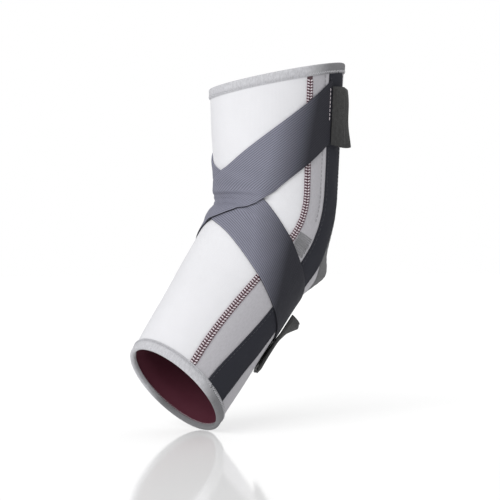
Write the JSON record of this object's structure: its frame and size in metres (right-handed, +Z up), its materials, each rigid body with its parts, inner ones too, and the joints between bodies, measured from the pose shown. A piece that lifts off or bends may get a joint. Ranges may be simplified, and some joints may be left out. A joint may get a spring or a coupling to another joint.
{
  "type": "elbow support sleeve",
  "caption": "Bent elbow support sleeve with a padded elbow cup, crossing elastic straps over the crease, hook tabs, side stays and bound open ends.",
  "frame": {"origin": "the elbow's flexion axis, where the centre lines of the upper arm and the forearm meet, in the middle of the sleeve", "axes": "+Z up along the upper arm, +X to the back of the elbow, -X to the crease, -Y to the outer (lateral) side and +Y to the inner (medial) side; the elbow flexes about +Y"},
  "size_m": [0.1811, 0.1015, 0.2898],
  "materials": {
    "white_fabric": "matte",
    "crease_knit": "matte",
    "grey_fabric": "matte",
    "cup_knit": "matte",
    "lining": "matte",
    "binding": "matte",
    "edge_tape": "satin",
    "seam_thread": "satin",
    "stay_steel": "satin",
    "cap_plastic": "matte",
    "strap_webbing": "satin",
    "velour": "matte",
    "hook": "satin",
    "foam": "matte"
  },
  "bodies": {
    "upper_arm": {"upper_front_panel": "white_fabric", "upper_lateral_panel": "grey_fabric", "upper_medial_panel": "grey_fabric", "upper_rear_panel": "grey_fabric", "upper_lining": "lining", "top_binding": "binding", "lateral_stay_upper_cap": "cap_plastic", "medial_stay_upper_cap": "cap_plastic", "upper_loop_patch": "velour", "upper_strap_anchor": "strap_webbing", "crease_insert": "crease_knit", "lateral_elbow_gusset": "grey_fabric", "medial_elbow_gusset": "grey_fabric", "elbow_cup": "cup_knit", "elbow_lining": "lining", "lateral_edge_tape": "edge_tape", "medial_edge_tape": "edge_tape", "lateral_flatlock_seam": "seam_thread", "medial_flatlock_seam": "seam_thread", "lateral_spiral_stay": "stay_steel", "medial_spiral_stay": "stay_steel", "outer_cross_strap": "strap_webbing", "inner_cross_strap": "strap_webbing", "lateral_bartack": "edge_tape", "medial_bartack": "edge_tape"},
    "forearm": {"forearm_front_panel": "white_fabric", "forearm_lateral_panel": "grey_fabric", "forearm_medial_panel": "grey_fabric", "forearm_rear_panel": "grey_fabric", "forearm_lining": "lining", "cuff_binding": "binding", "elbow_cushion": "foam", "lateral_stay_lower_cap": "cap_plastic", "medial_stay_lower_cap": "cap_plastic", "lower_loop_patch": "velour", "lower_strap_anchor": "strap_webbing"},
    "upper_tab": {"upper_tab_pad": "velour", "upper_tab_hook": "hook"},
    "lower_tab": {"lower_tab_pad": "velour", "lower_tab_hook": "hook"}
  },
  "joints": [
    {"name": "elbow_flexion", "type": "hinge", "parent": "upper_arm", "child": "forearm", "pos_m": [0, 0, 0], "axis": [0, 1, 0], "range_deg": [-30, 45], "stiffness_Nm_per_rad": 0.8, "deforming": ["crease_insert", "lateral_elbow_gusset", "medial_elbow_gusset", "elbow_cup", "elbow_lining", "lateral_edge_tape", "medial_edge_tape", "lateral_flatlock_seam", "medial_flatlock_seam", "lateral_spiral_stay", "medial_spiral_stay", "outer_cross_strap", "inner_cross_strap", "lateral_bartack", "medial_bartack"]},
    {"name": "upper_tab_peel", "type": "hinge", "parent": "upper_arm", "child": "upper_tab", "pos_m": [0.01987, -0.04667, 0.08125], "axis": [-0.0177, 0.0421, -0.999], "range_deg": [0, 90], "stiffness_Nm_per_rad": 0.02},
    {"name": "lower_tab_peel", "type": "hinge", "parent": "forearm", "child": "lower_tab", "pos_m": [-0.015, -0.02166, -0.09333], "axis": [-0.611, 0.0254, -0.7912], "range_deg": [0, 90], "stiffness_Nm_per_rad": 0.02}
  ]
}
